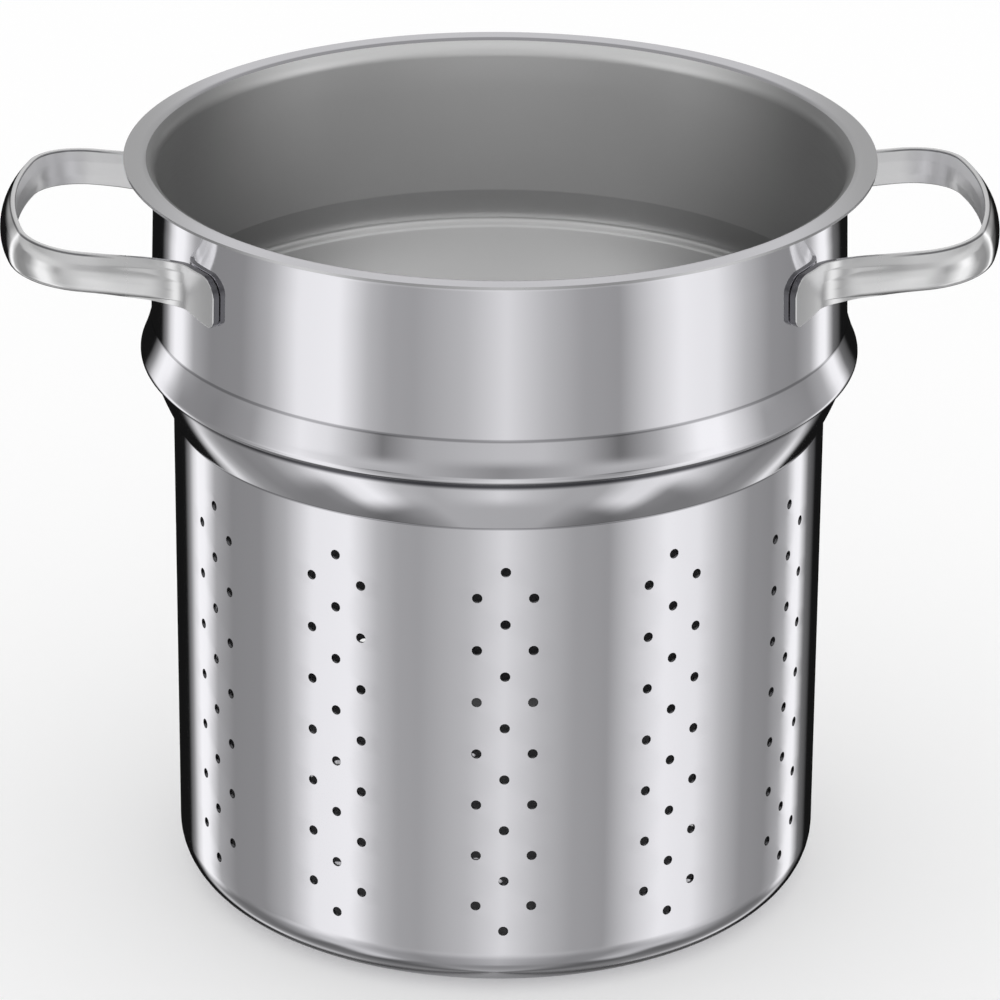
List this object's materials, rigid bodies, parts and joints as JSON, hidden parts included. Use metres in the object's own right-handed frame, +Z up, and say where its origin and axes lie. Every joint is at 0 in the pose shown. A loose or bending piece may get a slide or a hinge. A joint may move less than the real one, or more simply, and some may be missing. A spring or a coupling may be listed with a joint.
{
  "type": "strainer insert",
  "caption": "Deep perforated steel strainer insert with a wide plain collar, a stepped shoulder that hangs on a pot rim, and two bowed side handles.",
  "frame": {"origin": "middle of the underside of the base, on the surface it stands on", "axes": "+Z up along the basket's axis, the two handles on +X and -X, the pictured front towards -Y"},
  "size_m": [0.3486, 0.262, 0.27],
  "materials": {
    "polished_steel": "mirror polished outside, satin inside",
    "satin_steel": "satin"
  },
  "bodies": {
    "root": {"insert_body": "polished_steel", "left_handle": "satin_steel", "right_handle": "satin_steel", "left_handle_welds": "satin_steel", "right_handle_welds": "satin_steel"}
  },
  "joints": []
}
